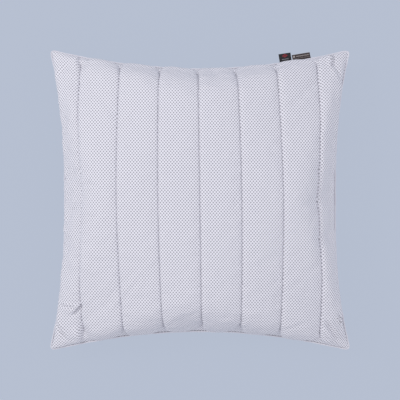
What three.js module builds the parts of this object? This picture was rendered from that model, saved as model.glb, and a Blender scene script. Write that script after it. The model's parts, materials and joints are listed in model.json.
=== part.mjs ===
// A square bed pillow: two channel-quilted panels sewn together round a piped edge and stuffed with fibre.
// Each quilted panel is a printed face cloth, a sheet of wadding and a lining, held together by parallel rows
// of stitching. Two woven labels stand out of the top seam.
//
// Millimetres, +Z up. The pillow lies on its back. The origin is under its middle, on the surface that it lies
// on, +X runs across the quilted channels and +Y runs along them, towards the seam with the labels.
//
// Every soft layer is worked out from one cushion shape. A place on a panel is given by u across the channels
// and v along them, each from -1 at one seam to 1 at the other, in shares of the flat panel.

import * as THREE from "three";

// ---- Driving dimensions ----

// Panels
const flatWidth = 700; // seam to seam across the channels, before filling
const flatLength = 700; // seam to seam along the channels, before filling
const takeUp = 28; // what the filling takes from each corner-to-corner span
const sidePull = 36; // how far the filling draws in the middle of each side seam
const endPull = 45; // the same for the top and bottom seams
const crownHeight = 105; // the middle of the front above the seam
const seamHeight = 88; // the seam above the surface that the pillow lies on
const bellyDepth = 108; // the back below the seam, before that surface flattens it
const cornerDroop = 24; // how far the corners hang below the rest of the seam

// Quilting
const rowsEachSide = 3; // rows of stitching on each side of the middle row
const channelPitch = 93; // row to row on the flat panel
const grooveDepth = 5; // how far a row draws the face cloth in
const grooveShare = 0.22; // the part of a channel that slopes down to each of its rows

// Layers
const layerGap = 0.4; // clearance between neighbouring layers
const faceThickness = 0.6;
const waddingPinched = 1; // the wadding's thickness under a row of stitching
const liningThickness = 0.5;
const fillingClearance = 1.5; // between the loose fibre and the linings

// Edge
const pipingCordRadius = 1;
const pipingTapeThickness = 0.4;
const pipingFlangeWidth = 9; // from the seam to the tape's raw edges, inside the cover
const pipingClearance = 0.3; // between the cord and its tape, and between the tape's two leaves
const overlockWidth = 1;
const overlockHeight = 1.5;

// Thread
const threadRadius = 0.4;
const closingSeamLength = 200; // the stretch of the bottom seam that is closed after filling
const closingSeamInset = 6; // from that seam, on the back panel

// Labels, measured along the seam and out from it
const labelLeafThickness = 0.4;
const labelLeafGap = 0.3; // between the two leaves of a folded label
const labelHingeClearance = 1.3; // from the piping to the line that a label turns about
const labelRootClearance = 0.5; // from that line to the label
const labels = [
  { name: "square_label", slot: "label_black", centre: 188.5, width: 27, reach: 18 },
  { name: "strip_label", slot: "label_brown", centre: 224, width: 41, reach: 12 },
];

// ---- Looks ----

const cloth = (color, roughness) =>
  new THREE.MeshStandardMaterial({ color, roughness, metalness: 0 });
const materials = {
  face_cloth: cloth(0xd2d2dc, 0.85),
  wadding: cloth(0xf2f2ee, 1),
  lining: cloth(0xe6e6e4, 0.9),
  filling: cloth(0xf6f6f2, 1),
  thread: cloth(0xdcdce4, 0.6),
  piping: cloth(0xe4e4ee, 0.8),
  cord: cloth(0xeeeee8, 0.9),
  label_black: cloth(0x17151b, 0.6),
  label_brown: cloth(0x2e2527, 0.6),
};

// ---- The cushion's curves ----

// Where a point of the flat panel comes to lie across the filled pillow, as a share of the half span. The
// panel bulges, so its middle spreads and its edge is seen steeply.
const bulge = 0.175;
const bulgePower = 5;
const spread = (t) => t * (1 + bulge - bulge * Math.abs(t) ** bulgePower);
const sidePower = 2.75; // how squarely the side seams are drawn in
const endPower = 2;
const droopPower = 3;
const edgeShare = 0.35; // the share of the crown's height by which layers and grooves reach their full depth
const edgePinch = 0.1; // the share of its depth at which a layer meets the seam

// ---- Sizes that follow from these ----

const halfX = (flatWidth - takeUp) / 2;
const halfY = (flatLength - takeUp) / 2;
const rowStep = channelPitch / (flatWidth / 2); // row to row, in u

// Depth of each surface of a quilted panel below the crest of its face
const depth = {};
depth.faceOuter = 0;
depth.faceInner = depth.faceOuter + faceThickness;
depth.waddingOuter = depth.faceInner + layerGap;
depth.waddingInner = depth.waddingOuter + grooveDepth + waddingPinched;
depth.liningOuter = depth.waddingInner + layerGap;
depth.liningInner = depth.liningOuter + liningThickness;
depth.filling = depth.liningInner + fillingClearance;

// The tape's section: a tube round the cord, and two leaves that run in between the panels
const tapeInnerRadius = pipingCordRadius + pipingClearance;
const tapeOuterRadius = tapeInnerRadius + pipingTapeThickness;
const flangeInnerHalf = pipingClearance / 2;
const flangeOuterHalf = flangeInnerHalf + pipingTapeThickness;
const flangeClear = flangeOuterHalf + layerGap; // from the seam's own level to the nearest layer of a panel
const rimLift = flangeClear + edgePinch * depth.liningInner; // the same for the crest of its face
const fillingLift = flangeClear / 2 + edgePinch * depth.filling;
const cordOutset = layerGap + tapeOuterRadius; // from the panels' outline to the middle of the cord
const pipingOutset = cordOutset + tapeOuterRadius;
const fillingInset = pipingFlangeWidth + overlockWidth + 2 * layerGap;

// ---- The cushion shape ----

// Height of the dome at (u, v), from 0 along the seam to 1 in the middle.
function dome(u, v) {
  const across = Math.max(0, 1 - spread(u) ** 2);
  const along = Math.max(0, 1 - spread(v) ** 2);
  return Math.sqrt(across * along);
}

// Plan position of (u, v) on a surface that is inset from the panels' outline.
function plan(u, v, inset) {
  const freeX = 1 - Math.abs(v) ** 2; // 0 where the panel is held flat by the seam
  const freeY = 1 - Math.abs(u) ** 2;
  const x = u + (spread(u) - u) * freeX;
  const y = v + (spread(v) - v) * freeY;
  const drawnX = halfX - sidePull * (1 - Math.abs(v) ** sidePower);
  const drawnY = halfY - endPull * (1 - Math.abs(u) ** endPower);
  return [x * drawnX * (1 - inset / halfX), y * drawnY * (1 - inset / halfY)];
}

// Height of the seam's own level at a plan position, which falls away towards the corners.
const seamLevel = (x, y) => seamHeight - cornerDroop * Math.abs((x * y) / (halfX * halfY)) ** droopPower;

// How far a row of stitching draws the face in at u.
function groove(u) {
  const nearest = Math.max(-rowsEachSide, Math.min(rowsEachSide, Math.round(u / rowStep)));
  const away = Math.abs(u - nearest * rowStep) / (grooveShare * rowStep);
  return grooveDepth * Math.max(0, 1 - away);
}

// A point on the front or back surface at a depth below the crest of the face. It is inset from the outline,
// and its edge lies a little above or below the seam. Grooves show on the face cloth and on the outside of the
// wadding. The back is flat where it lies on the surface under it.
function surfacePoint(side, u, v, layerDepth, { inset = layerDepth, lift = rimLift, grooved = false } = {}) {
  const [x, y] = plan(u, v, inset);
  const height = dome(u, v);
  const settled = Math.min(1, height / edgeShare);
  const below = layerDepth * (edgePinch + (1 - edgePinch) * settled);
  const sunk = grooved ? groove(u) * settled : 0;
  if (side === "front") {
    const crest = seamLevel(x, y) + lift + (crownHeight - lift) * height;
    return new THREE.Vector3(x, y, crest - below - sunk);
  }
  const crest = Math.max(0, seamLevel(x, y) - lift - (bellyDepth - lift) * height);
  return new THREE.Vector3(x, y, crest + below + sunk);
}

// ---- The grid that every layer shares ----

// The lines of the grid between the last row of stitching and the side seam, as shares of that distance, and the
// lines along the channels from the middle to the end seam. Both lie closer together where the edge curves.
const edgeShares = [0.45, 0.8];
const alongShares = [0.25, 0.48, 0.68, 0.84, 0.945];

// Lines across the panel: each row of stitching, the shoulders beside it, and those by the side seams.
function gridAcross() {
  const last = rowsEachSide * rowStep;
  const lines = [];
  for (let row = 0; row < rowsEachSide; row++) {
    lines.push(row * rowStep, (row + grooveShare) * rowStep, (row + 1 - grooveShare) * rowStep);
  }
  lines.push(last, ...edgeShares.map((share) => last + share * (1 - last)), 1);
  const mirrored = lines.slice(1).map((u) => -u);
  return [...mirrored.reverse(), ...lines];
}

function gridAlong() {
  const lines = [0, ...alongShares, 1];
  const mirrored = lines.slice(1).map((v) => -v);
  return [...mirrored.reverse(), ...lines];
}

const across = gridAcross();
const along = gridAlong();

// The seam's own line, anticlockwise from above, as (u, v) places.
function seamPlaces() {
  const down = [...along].reverse();
  const back = [...across].reverse();
  return [
    ...across.slice(0, -1).map((u) => [u, -1]),
    ...along.slice(0, -1).map((v) => [1, v]),
    ...back.slice(0, -1).map((u) => [u, 1]),
    ...down.slice(0, -1).map((v) => [-1, v]),
  ];
}

const seam = seamPlaces();

// A point of a section that runs round the seam: so far out from the panels' outline, and so far up.
function seamPoint([u, v], outset, rise) {
  const [x, y] = plan(u, v, -outset);
  return new THREE.Vector3(x, y, seamLevel(x, y) + rise);
}

// ---- Solids from grids and sections ----

function geometryFrom(points, triangles) {
  const geometry = new THREE.BufferGeometry();
  geometry.setAttribute("position", new THREE.Float32BufferAttribute(points.flatMap((p) => p.toArray()), 3));
  geometry.setIndex(triangles.flat());
  geometry.computeVertexNormals();
  return geometry;
}

// Triangles of a grid of points, numbered row by row from a first point, facing +Z.
function gridTriangles(first) {
  const wide = across.length;
  const triangles = [];
  for (let j = 0; j < along.length - 1; j++) {
    for (let i = 0; i < wide - 1; i++) {
      const a = first + j * wide + i;
      triangles.push([a, a + 1, a + wide + 1], [a, a + wide + 1, a + wide]);
    }
  }
  return triangles;
}

// The numbers of a grid's border points, anticlockwise.
function gridBorder(first) {
  const wide = across.length;
  const high = along.length;
  const border = [];
  for (let i = 0; i < wide - 1; i++) border.push(first + i);
  for (let j = 0; j < high - 1; j++) border.push(first + j * wide + wide - 1);
  for (let i = wide - 1; i > 0; i--) border.push(first + (high - 1) * wide + i);
  for (let j = high - 1; j > 0; j--) border.push(first + j * wide);
  return border;
}

// The closed solid between an upper and a lower surface of the shared grid.
function betweenSurfaces(upper, lower) {
  const points = [];
  for (const surface of [upper, lower]) {
    for (const v of along) {
      for (const u of across) points.push(surface(u, v));
    }
  }
  const lowerFirst = points.length / 2;
  const turned = gridTriangles(lowerFirst).map(([a, b, c]) => [a, c, b]);
  const triangles = [...gridTriangles(0), ...turned];
  const top = gridBorder(0);
  const bottom = gridBorder(lowerFirst);
  top.forEach((a, i) => {
    const next = (i + 1) % top.length;
    triangles.push([a, bottom[i], bottom[next]], [a, bottom[next], top[next]]);
  });
  return geometryFrom(points, triangles);
}

// A solid swept through a list of sections with the same number of points, each listed anticlockwise as seen
// from further along the sweep. It closes on itself as a ring, or ends in flat caps.
function sweep(sections, ring) {
  const size = sections[0].length;
  const points = sections.flat();
  const triangles = [];
  const steps = ring ? sections.length : sections.length - 1;
  for (let s = 0; s < steps; s++) {
    const here = s * size;
    const next = ((s + 1) % sections.length) * size;
    for (let k = 0; k < size; k++) {
      const m = (k + 1) % size;
      triangles.push([here + k, here + m, next + m], [here + k, next + m, next + k]);
    }
  }
  if (!ring) {
    const last = (sections.length - 1) * size;
    for (let k = 1; k < size - 1; k++) {
      triangles.push([0, k + 1, k], [last, last + k, last + k + 1]);
    }
  }
  return geometryFrom(points, triangles);
}

// A ring round the seam, with a section given as [outset, rise] points listed from below, round the outside, to
// above.
function roundTheSeam(section) {
  const clockwise = [...section].reverse();
  const sectionAt = (place) => clockwise.map(([outset, rise]) => seamPoint(place, outset, rise));
  return sweep(seam.map(sectionAt), true);
}

// ---- Building the pillow ----

const pillow = new THREE.Group();

function add(name, geometry, slot, parent = pillow) {
  const mesh = new THREE.Mesh(geometry, materials[slot]);
  mesh.name = name;
  parent.add(mesh);
  return mesh;
}

// One quilted panel: face cloth, wadding and lining.
function addPanel(side) {
  const surface = (layerDepth, grooved) => (u, v) => surfacePoint(side, u, v, layerDepth, { grooved });
  const layer = (outerDepth, outerGrooved, innerDepth, innerGrooved) => {
    const outer = surface(outerDepth, outerGrooved);
    const inner = surface(innerDepth, innerGrooved);
    return side === "front" ? betweenSurfaces(outer, inner) : betweenSurfaces(inner, outer);
  };
  add(`${side}_face_cloth`, layer(depth.faceOuter, true, depth.faceInner, true), "face_cloth");
  add(`${side}_wadding`, layer(depth.waddingOuter, true, depth.waddingInner, false), "wadding");
  add(`${side}_lining`, layer(depth.liningOuter, false, depth.liningInner, false), "lining");
}

// The loose fibre that fills the space between the two linings.
function addFilling() {
  const edge = { inset: fillingInset, lift: fillingLift };
  const surface = (side) => (u, v) => surfacePoint(side, u, v, depth.filling, edge);
  add("fibre_filling", betweenSurfaces(surface("front"), surface("back")), "filling");
}

// A thread's section, square and centred on a point, for a thread that runs along the given direction.
function threadSection(centre, direction, up) {
  const sideways = new THREE.Vector3().crossVectors(direction, up).normalize().multiplyScalar(threadRadius);
  const upwards = up.clone().normalize().multiplyScalar(threadRadius);
  return [
    centre.clone().sub(upwards),
    centre.clone().sub(sideways),
    centre.clone().add(upwards),
    centre.clone().add(sideways),
  ];
}

// The rows of stitching, each lying in its groove on the outside of the face cloth.
function addQuilting(side) {
  const outwards = new THREE.Vector3(0, 0, side === "front" ? 1 : -1);
  const lift = outwards.clone().multiplyScalar(threadRadius + layerGap);
  const forwards = new THREE.Vector3(0, 1, 0);
  const inner = along.slice(1, -1); // a row stops short of the piped edge
  for (let row = -rowsEachSide; row <= rowsEachSide; row++) {
    const u = row * rowStep;
    const sections = inner.map((v) => {
      const centre = surfacePoint(side, u, v, depth.faceOuter, { grooved: true }).add(lift);
      return threadSection(centre, forwards, outwards);
    });
    add(`${side}_quilting_row_${row + rowsEachSide + 1}`, sweep(sections, false), "thread");
  }
}

// The points of a round stretch of a section, from one angle to another.
function arc(centreOut, radius, from, to, steps) {
  const points = [];
  for (let k = 0; k <= steps; k++) {
    const angle = from + ((to - from) * k) / steps;
    points.push([centreOut + radius * Math.cos(angle), radius * Math.sin(angle)]);
  }
  return points;
}

// The piping: a cord, a bias tape folded round it, and the overlock thread over the tape's raw edges.
function addPiping() {
  const arcSteps = 5;
  const outerFrom = Math.PI - Math.asin(flangeOuterHalf / tapeOuterRadius);
  const innerFrom = Math.PI - Math.asin(flangeInnerHalf / tapeInnerRadius);
  const tape = [
    [-pipingFlangeWidth, -flangeOuterHalf],
    ...arc(cordOutset, tapeOuterRadius, -outerFrom, outerFrom, arcSteps),
    [-pipingFlangeWidth, flangeOuterHalf],
    [-pipingFlangeWidth, flangeInnerHalf],
    ...arc(cordOutset, tapeInnerRadius, innerFrom, -innerFrom, arcSteps),
    [-pipingFlangeWidth, -flangeInnerHalf],
  ];
  add("piping_tape", roundTheSeam(tape), "piping");

  const cordSides = 6;
  const cord = arc(cordOutset, pipingCordRadius, 0, 2 * Math.PI, cordSides).slice(0, -1);
  add("piping_cord", roundTheSeam(cord), "cord");

  const outer = -pipingFlangeWidth - layerGap;
  const inner = outer - overlockWidth;
  const half = overlockHeight / 2;
  const overlock = [
    [inner, -half],
    [outer, -half],
    [outer, half],
    [inner, half],
  ];
  add("edge_overlock_thread", roundTheSeam(overlock), "thread");
}

// The stitching that closes the cover once it is filled, on the back panel beside the bottom seam.
function addClosingSeam() {
  const reach = closingSeamLength / flatWidth;
  const places = [-reach, ...across.filter((u) => Math.abs(u) < reach), reach];
  const edgeLine = along[0];
  const nextLine = along[1];
  const backwards = new THREE.Vector3(1, 0, 0);
  const sections = places.map((u) => {
    const edge = surfacePoint("back", u, edgeLine, depth.faceOuter, { grooved: true });
    const next = surfacePoint("back", u, nextLine, depth.faceOuter, { grooved: true });
    const wall = next.clone().sub(edge).normalize();
    const outwards = new THREE.Vector3().crossVectors(backwards, wall).normalize();
    if (outwards.y > 0) outwards.negate();
    const centre = edge.clone().addScaledVector(wall, closingSeamInset);
    centre.addScaledVector(outwards, threadRadius * Math.SQRT2 + layerGap);
    return threadSection(centre, backwards, outwards);
  });
  add("closing_seam_thread", sweep(sections, false), "thread");
}

// A woven label, folded double, that stands out of the top seam. Its group's origin is on the line that it
// turns about, with +X along the seam and +Y out from it.
function addLabel({ name, slot, centre, width, reach }) {
  const outset = pipingOutset + labelHingeClearance;
  const rootAt = (x) => seamPoint([x / halfX, 1], outset, 0);
  const alongSeam = rootAt(centre + width / 2).sub(rootAt(centre - width / 2)).normalize();
  const outFromSeam = new THREE.Vector3(-alongSeam.y, alongSeam.x, 0).normalize();
  const upFromLabel = new THREE.Vector3().crossVectors(alongSeam, outFromSeam);
  const group = new THREE.Group();
  group.position.copy(rootAt(centre));
  group.setRotationFromMatrix(new THREE.Matrix4().makeBasis(alongSeam, outFromSeam, upFromLabel));

  const outerHalf = labelLeafGap / 2 + labelLeafThickness;
  const innerHalf = labelLeafGap / 2;
  const straightEnd = reach - outerHalf;
  const fold = new THREE.Shape();
  fold.moveTo(labelRootClearance, -outerHalf);
  fold.lineTo(straightEnd, -outerHalf);
  fold.absarc(straightEnd, 0, outerHalf, -Math.PI / 2, Math.PI / 2, false);
  fold.lineTo(labelRootClearance, outerHalf);
  fold.lineTo(labelRootClearance, innerHalf);
  fold.lineTo(straightEnd, innerHalf);
  fold.absarc(straightEnd, 0, innerHalf, Math.PI / 2, -Math.PI / 2, true);
  fold.lineTo(labelRootClearance, -innerHalf);
  fold.closePath();
  const geometry = new THREE.ExtrudeGeometry(fold, {
    depth: width,
    bevelEnabled: false,
    curveSegments: 3,
  });
  // The section is drawn with its X out from the seam and its Y up, and is extruded along the seam.
  geometry.translate(0, 0, -width / 2);
  geometry.applyMatrix4(
    new THREE.Matrix4().makeBasis(
      new THREE.Vector3(0, 1, 0),
      new THREE.Vector3(0, 0, 1),
      new THREE.Vector3(1, 0, 0),
    ),
  );
  add(name, geometry, slot, group);
  pillow.add(group);
}

addPanel("front");
addPanel("back");
addFilling();
addQuilting("front");
addQuilting("back");
addPiping();
addClosingSeam();
labels.forEach(addLabel);

export default pillow;
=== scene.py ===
"""A square bed pillow with channel-quilted dotted cotton panels, slim white piping and two woven labels."""

import json
import math

import bpy
import numpy as np
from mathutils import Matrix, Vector


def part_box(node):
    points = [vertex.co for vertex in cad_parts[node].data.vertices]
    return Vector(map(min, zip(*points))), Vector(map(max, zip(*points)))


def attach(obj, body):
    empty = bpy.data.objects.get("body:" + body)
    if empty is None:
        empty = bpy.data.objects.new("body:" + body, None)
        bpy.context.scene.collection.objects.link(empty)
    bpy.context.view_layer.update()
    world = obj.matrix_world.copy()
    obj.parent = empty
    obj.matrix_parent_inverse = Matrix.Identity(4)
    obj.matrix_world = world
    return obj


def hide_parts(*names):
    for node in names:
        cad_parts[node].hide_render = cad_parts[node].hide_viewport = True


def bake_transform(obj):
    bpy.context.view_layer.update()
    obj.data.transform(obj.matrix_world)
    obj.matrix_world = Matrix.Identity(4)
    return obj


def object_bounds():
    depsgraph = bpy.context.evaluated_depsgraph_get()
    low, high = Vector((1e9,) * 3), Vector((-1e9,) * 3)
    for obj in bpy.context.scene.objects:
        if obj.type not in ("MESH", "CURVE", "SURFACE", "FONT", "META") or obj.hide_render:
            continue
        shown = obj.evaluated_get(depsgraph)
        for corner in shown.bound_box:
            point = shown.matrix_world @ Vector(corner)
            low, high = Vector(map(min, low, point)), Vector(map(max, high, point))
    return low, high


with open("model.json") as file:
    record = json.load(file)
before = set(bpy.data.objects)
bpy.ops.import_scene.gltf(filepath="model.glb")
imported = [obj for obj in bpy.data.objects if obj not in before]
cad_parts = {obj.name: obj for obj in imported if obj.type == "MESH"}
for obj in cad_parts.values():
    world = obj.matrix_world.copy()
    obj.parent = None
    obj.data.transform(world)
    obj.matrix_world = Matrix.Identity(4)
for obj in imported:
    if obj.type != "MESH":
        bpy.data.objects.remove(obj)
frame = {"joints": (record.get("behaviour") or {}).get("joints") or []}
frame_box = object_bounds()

# --------------------------------------------------------------------------------------------------
# The room: a pale floor that the pillow lies on, seen from straight above with the labelled seam at the
# top. The floor glows a little, as a lit backdrop does, so the pillow's shadow on it stays faint.

corner_tip_pull = 0.0015  # how much the turned-out corners fall short of a sharp point
tip_to_tip = 2 * (frame_box[1][0] - corner_tip_pull)
corner_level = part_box("piping_cord")[0][2]
camera_distance = 2.4  # from the corners' level
pillow_share_of_frame = 0.7494
camera_sensor = 0.036

camera = bpy.data.objects.new("camera", bpy.data.cameras.new("camera"))
camera.location = (0, 0, corner_level + camera_distance)
camera.data.sensor_width = camera_sensor * 1000
camera.data.lens = 1000 * camera_sensor * camera_distance * pillow_share_of_frame / tip_to_tip
camera.data.clip_end = 20
bpy.context.collection.objects.link(camera)
bpy.context.scene.camera = camera
bpy.context.scene.view_settings.view_transform = "Standard"

floor_side = 12
floor_colour = (0.474, 0.527, 0.638, 1)
floor_glow = 0.94  # the share of the floor's brightness that is its own
floor_level = -0.0005  # just below the pillow


def new_material(name):
    material = bpy.data.materials.new(name)
    material.use_nodes = True
    return material, material.node_tree, material.node_tree.nodes["Principled BSDF"]


floor_material, tree, shader = new_material("backdrop_paper")
shader.inputs["Base Color"].default_value = [c * (1 - floor_glow) for c in floor_colour[:3]] + [1]
shader.inputs["Roughness"].default_value = 1
shader.inputs["Specular IOR Level"].default_value = 0
shader.inputs["Emission Color"].default_value = floor_colour
shader.inputs["Emission Strength"].default_value = floor_glow

floor_corners = [(-1, -1), (1, -1), (1, 1), (-1, 1)]
floor_mesh = bpy.data.meshes.new("floor")
floor_mesh.from_pydata(
    [(x * floor_side / 2, y * floor_side / 2, floor_level) for x, y in floor_corners],
    [],
    [(0, 1, 2, 3)],
)
floor_mesh.materials.append(floor_material)
floor = bpy.data.objects.new("floor", floor_mesh)
bpy.context.collection.objects.link(floor)

lamp_target = Vector((0, 0, 0.1))  # the middle of the pillow


def softbox(name, place, width, power, colour):
    light = bpy.data.lights.new(name, "AREA")
    light.size = width
    light.energy = power
    light.color = colour
    lamp = bpy.data.objects.new(name, light)
    lamp.location = place
    lamp.rotation_euler = (lamp_target - Vector(place)).to_track_quat("-Z", "Y").to_euler()
    bpy.context.collection.objects.link(lamp)


softbox("softbox_left", (-2.3, 0.8, 2.5), 0.8, 30, (1.0, 0.985, 0.965))
softbox("softbox_right", (2.4, 0.2, 2.6), 1.6, 11.5, (0.97, 0.98, 1.0))

world = bpy.data.worlds.new("room_light")
world.use_nodes = True
world.node_tree.nodes["Background"].inputs["Color"].default_value = (0.90, 0.91, 1.0, 1)
world.node_tree.nodes["Background"].inputs["Strength"].default_value = 0.755
bpy.context.scene.world = world

# --------------------------------------------------------------------------------------------------
# The filled cover: two square panels, cut flat and sewn together round their edges, blown up by the
# filling. The seam draws in between the corners and the cloth gathers along it, so this is worked out by
# cloth simulation.

panel_side = 0.700  # seam to seam, cut flat
quilting_take_up = 0.011  # what the quilting takes from each side in the middle of the panel
side_pull = 0.036  # how far the filling draws in the middle of each side seam
end_pull = 0.045  # the same for the top and bottom seams
side_pull_power = 2.75
corner_droop = 0.024
droop_power = 3
panel_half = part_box("front_face_cloth")[1][0]
seam_height = 0.088
crown_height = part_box("front_face_cloth")[1][2] - seam_height
belly_depth = 0.108
sim_cells = 90
sim_frames = 34
draw_in_frames = 12
first_rise_height = 0.02  # the flat panels start a little domed and uneven, so that they fill apart
unevenness_height = 0.0004
ironing_passes = 16
side_folds_kept = 0.65  # how much of the folds is left beside the side seams
end_folds_kept = 0.12  # and beside the end seams
rows_lean = 0.005  # how far the rows' ends lie to one side, from the cover's slight twist
rows_draw = 0.0095  # how far the rows' ends are drawn in towards the middle


def seam_outline(u, v):
    """Plan position of a place on the seam, where u or v is 1 or -1."""
    x = u * (panel_half - side_pull * (1 - np.abs(v) ** side_pull_power))
    y = v * (panel_half - end_pull * (1 - u**2))
    return x, y


def seam_drop(x, y):
    """How far the seam hangs below its height in the middle of each side."""
    return corner_droop * np.abs(x * y / panel_half**2) ** droop_power


sim_line = np.linspace(-1, 1, sim_cells + 1)
sim_u, sim_v = np.meshgrid(sim_line, sim_line)
on_seam = (np.abs(sim_u) == 1) | (np.abs(sim_v) == 1)
front_index = np.arange(sim_u.size).reshape(sim_u.shape)
back_index = front_index.copy()
back_index[~on_seam] = sim_u.size + np.arange((~on_seam).sum())
vertex_count = back_index.max() + 1


def quad_faces(index):
    corners = [index[:-1, :-1], index[:-1, 1:], index[1:, 1:], index[1:, :-1]]
    return np.stack(corners, axis=-1).reshape(-1, 4)


def cover_points(front, back):
    """One list of points for both panels, which share those on the seam."""
    points = np.zeros((vertex_count, 3))
    points[back_index] = back
    points[front_index] = front
    return points


flat_x = sim_u * (panel_side / 2 - quilting_take_up * (1 - sim_v**2))
flat_y = sim_v * (panel_side / 2 - quilting_take_up * (1 - sim_u**2))
unevenness = np.random.default_rng(5).normal(0, unevenness_height, sim_u.shape) * ~on_seam
first_rise = first_rise_height * (1 - sim_u**4) * (1 - sim_v**4)
cut_panels = cover_points(
    np.stack([flat_x, flat_y, first_rise + unevenness], axis=-1),
    np.stack([flat_x, flat_y, -first_rise + unevenness.T], axis=-1),
)
edge_x, edge_y = seam_outline(sim_u, sim_v)
sewn_edge = np.stack([edge_x, edge_y, -seam_drop(edge_x, edge_y)], axis=-1)


def simulate_filling():
    """Draws the seam in while pressure fills the cover, and returns the settled points."""
    mesh = bpy.data.meshes.new("cover_simulation")
    faces = np.concatenate([quad_faces(front_index), quad_faces(back_index)[:, ::-1]])
    mesh.from_pydata(cut_panels.tolist(), [], faces.tolist())
    cover = bpy.data.objects.new("cover_simulation", mesh)
    bpy.context.collection.objects.link(cover)
    seam_group = cover.vertex_groups.new(name="seam")
    seam_group.add([int(i) for i in front_index[on_seam]], 1.0, "REPLACE")
    cover.shape_key_add(name="cut_flat")
    drawn_in = cover.shape_key_add(name="drawn_in")
    drawn_in.data.foreach_set("co", cover_points(sewn_edge, sewn_edge).astype(np.float32).ravel())
    drawn_in.value = 0
    drawn_in.keyframe_insert("value", frame=1)
    drawn_in.value = 1
    drawn_in.keyframe_insert("value", frame=draw_in_frames)

    cloth = cover.modifiers.new("Cloth", "CLOTH")
    settings = cloth.settings
    settings.vertex_group_mass = "seam"
    settings.quality = 5
    settings.mass = 0.02
    settings.tension_stiffness = 20
    settings.compression_stiffness = 20
    settings.shear_stiffness = 6
    settings.bending_stiffness = 0.05
    settings.tension_damping = 5
    settings.compression_damping = 5
    settings.shear_damping = 5
    settings.bending_damping = 0.2
    settings.air_damping = 1
    settings.use_pressure = True
    settings.uniform_pressure_force = 2
    settings.effector_weights.gravity = 0
    cloth.collision_settings.use_collision = False
    cloth.point_cache.frame_start = 1
    cloth.point_cache.frame_end = sim_frames
    for number in range(1, sim_frames + 1):
        bpy.context.scene.frame_set(number)
    settled = cover.evaluated_get(bpy.context.evaluated_depsgraph_get())
    points = np.empty(vertex_count * 3, np.float32)
    settled.data.vertices.foreach_get("co", points)
    bpy.context.scene.frame_set(1)
    bpy.data.objects.remove(cover)
    bpy.data.meshes.remove(mesh)
    return points.reshape(-1, 3).astype(float)


filled = simulate_filling()


def settle_height(panel, height):
    """The panel with its middle at the given height over the seam, which droops at the corners."""
    drop = seam_drop(panel[..., 0], panel[..., 1])
    rise = panel[..., 2] + drop
    panel = panel.copy()
    panel[..., 2] = rise * height / np.abs(rise).max() - drop + seam_height
    return panel


def ironed(panel):
    """The panel with its folds softened, most of all by the end seams, which the quilting holds."""
    smooth = panel.copy()
    for _ in range(ironing_passes):
        along = smooth.copy()
        along[1:-1] = (smooth[:-2] + 2 * smooth[1:-1] + smooth[2:]) / 4
        across = along.copy()
        across[:, 1:-1] = (along[:, :-2] + 2 * along[:, 1:-1] + along[:, 2:]) / 4
        smooth[1:-1, 1:-1] = across[1:-1, 1:-1]
    kept = side_folds_kept + (end_folds_kept - side_folds_kept) * np.abs(sim_v) ** 3
    return smooth + (panel - smooth) * kept[..., None]


def drawn_to_middle(panel):
    """The panel with the ends of its rows drawn to the middle, as the gathered end seams do it."""
    lean = rows_lean * sim_v * (1 - sim_u**6)
    draw = rows_draw * np.sin(sim_u * math.pi) * sim_v**2
    source = sim_u - (lean + draw) / panel_half
    drawn = [
        np.stack([np.interp(places, sim_line, values) for values in line.T], axis=-1)
        for places, line in zip(source, panel)
    ]
    return np.stack(drawn)


front_sheet = settle_height(drawn_to_middle(ironed(filled[front_index])), crown_height)
back_sheet = settle_height(drawn_to_middle(ironed(filled[back_index])), belly_depth)

# --------------------------------------------------------------------------------------------------
# The quilting's shape: seven rows of stitching pull each panel down into grooves, and the wadding puffs
# up between them into eight channels. The cloth puckers along the rows and pinches where they run into
# the seam.

channel_pitch = 0.093
rows = np.arange(-3, 4) * channel_pitch  # where the rows lie across the flat panel
channel_puff = 0.0028
channel_fullness = 0.75  # the lower this is, the flatter a channel's top and the steeper its sides
shoulder_depth = 0.0042  # the cloth falls away towards each row, ever more steeply
left_shoulder_width = 0.0085  # on the left of a row, where the presser foot ran
right_shoulder_width = 0.0032
lap_height = 0.0020  # how far each channel's left edge stands up over the right edge of the one before
crease_depth = 0.0016
crease_width = 0.0012
end_strain = 0.7  # how much deeper the rows lie near the end seams
end_strain_reach = 0.060
end_pinch = 0.0095  # how much deeper still a row pulls where it meets the seam
end_pinch_reach = 0.018
end_pinch_width = 0.0050
side_hold = 0.009  # the distance from a side seam over which the seam holds the cloth flat
end_hold = 0.005  # the same at the end seams
room_share = 0.42  # the deepest that any crease may be, as a share of its distance from the seam
scallop = 0.003  # how far a channel's end stands out between two pinches
scallop_width = 0.02
pucker_height = 0.0006
pucker_reach = 0.013
pucker_start = 0.002
puckers, fine_puckers = (110, 16), (170, 16)  # how many bumps down and across a panel
crinkle_height = 0.00035
crinkles, long_crinkles = (60, 40), (34, 60)
small_share = 0.6  # of the second kind of pucker and of crinkle
edge_roll_height = 0.0040
edge_roll_place = 0.014
edge_roll_width = 0.011
edge_roll_start = 0.006
bottom_roll_loss, bottom_roll_reach = 0.8, 0.05
corner_roll_loss, corner_roll_reach = 0.6, 0.08
tuck_lip_height, tuck_lip_place = 0.7, 1.3  # as shares of a tuck's depth and width
front_seed, back_seed = 20, 40
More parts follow.
